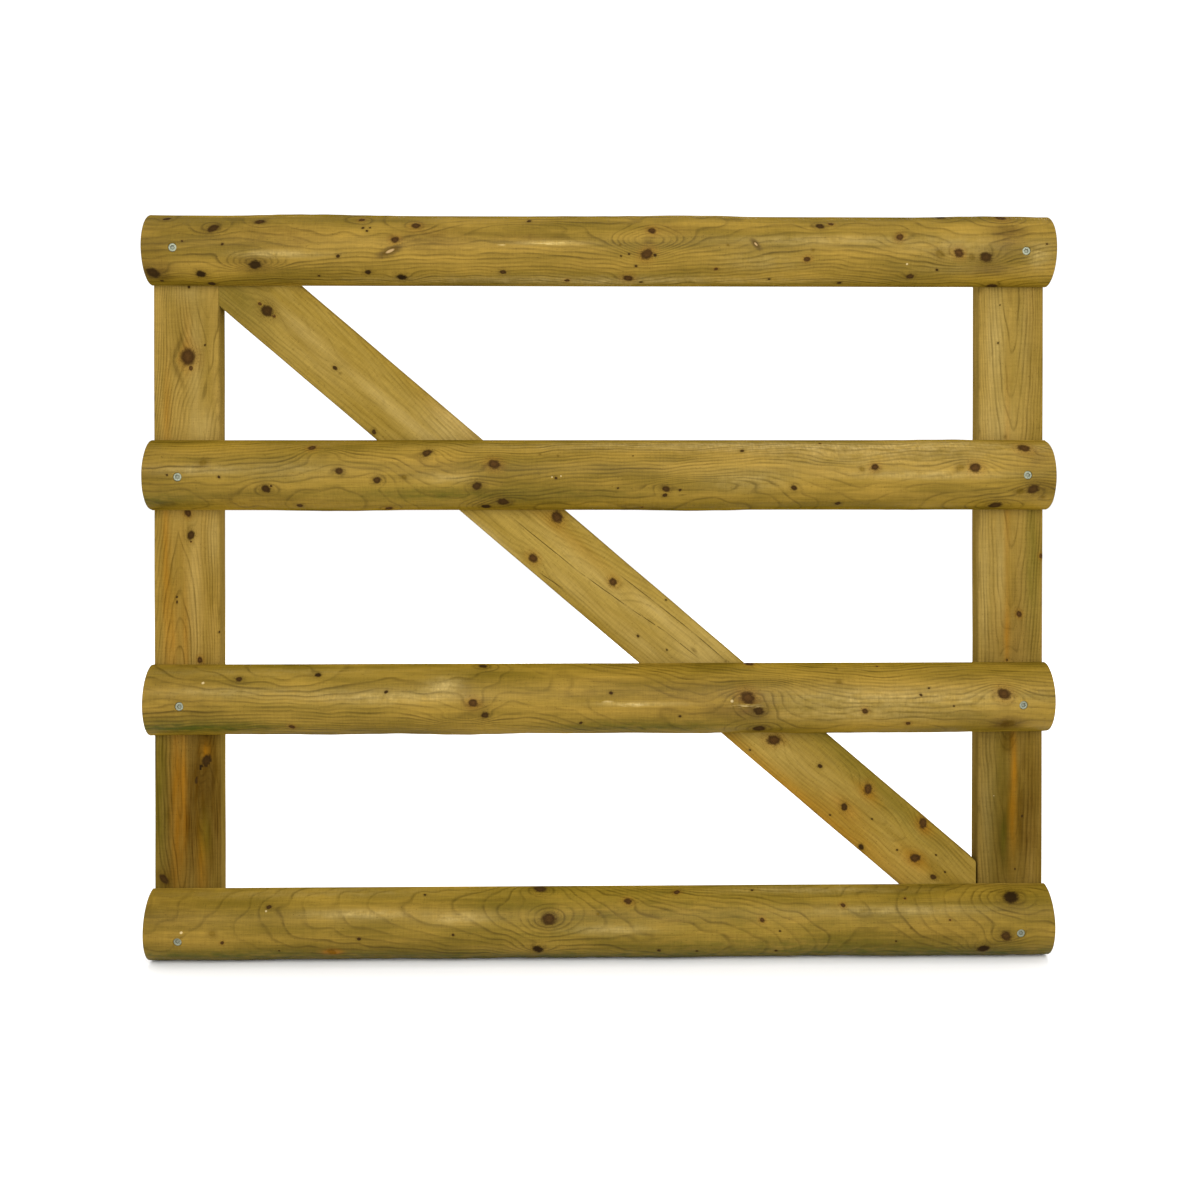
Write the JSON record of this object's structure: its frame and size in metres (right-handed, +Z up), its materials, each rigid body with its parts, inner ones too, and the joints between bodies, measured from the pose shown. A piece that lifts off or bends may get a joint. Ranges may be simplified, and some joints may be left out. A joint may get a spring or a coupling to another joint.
{
  "type": "field gate",
  "caption": "Wooden field gate leaf of half-round rails screwed across planed stiles, with a diagonal brace in the plane of the stiles; hung on hinges, it closes an opening in a fence.",
  "frame": {"origin": "middle of the gate's width and depth, level with the bottom rail's lower edge", "axes": "+X along the rails towards the hanging stile, +Y from the rails' round fronts to the stiles' flat backs, +Z up"},
  "size_m": [1.31, 0.085, 1.084],
  "materials": {
    "rail_timber": "pressure-treated softwood, machine-rounded, satin",
    "stile_timber": "pressure-treated softwood, planed with eased edges",
    "brace_timber": "pressure-treated softwood, planed with eased edges",
    "zinc_plated_steel": "zinc-plated, dull"
  },
  "bodies": {
    "root": {"bottom_rail": "rail_timber", "lower_middle_rail": "rail_timber", "upper_middle_rail": "rail_timber", "top_rail": "rail_timber", "closing_stile": "stile_timber", "hanging_stile": "stile_timber", "diagonal_brace": "brace_timber", "bottom_rail_closing_screw": "zinc_plated_steel", "bottom_rail_hanging_screw": "zinc_plated_steel", "lower_middle_rail_closing_screw": "zinc_plated_steel", "lower_middle_rail_hanging_screw": "zinc_plated_steel", "upper_middle_rail_closing_screw": "zinc_plated_steel", "upper_middle_rail_hanging_screw": "zinc_plated_steel", "top_rail_closing_screw": "zinc_plated_steel", "top_rail_hanging_screw": "zinc_plated_steel", "bottom_rail_brace_screw_lower": "zinc_plated_steel", "bottom_rail_brace_screw_upper": "zinc_plated_steel", "lower_middle_rail_brace_screw_lower": "zinc_plated_steel", "lower_middle_rail_brace_screw_upper": "zinc_plated_steel", "upper_middle_rail_brace_screw_lower": "zinc_plated_steel", "upper_middle_rail_brace_screw_upper": "zinc_plated_steel", "top_rail_brace_screw_lower": "zinc_plated_steel", "top_rail_brace_screw_upper": "zinc_plated_steel"}
  },
  "joints": []
}
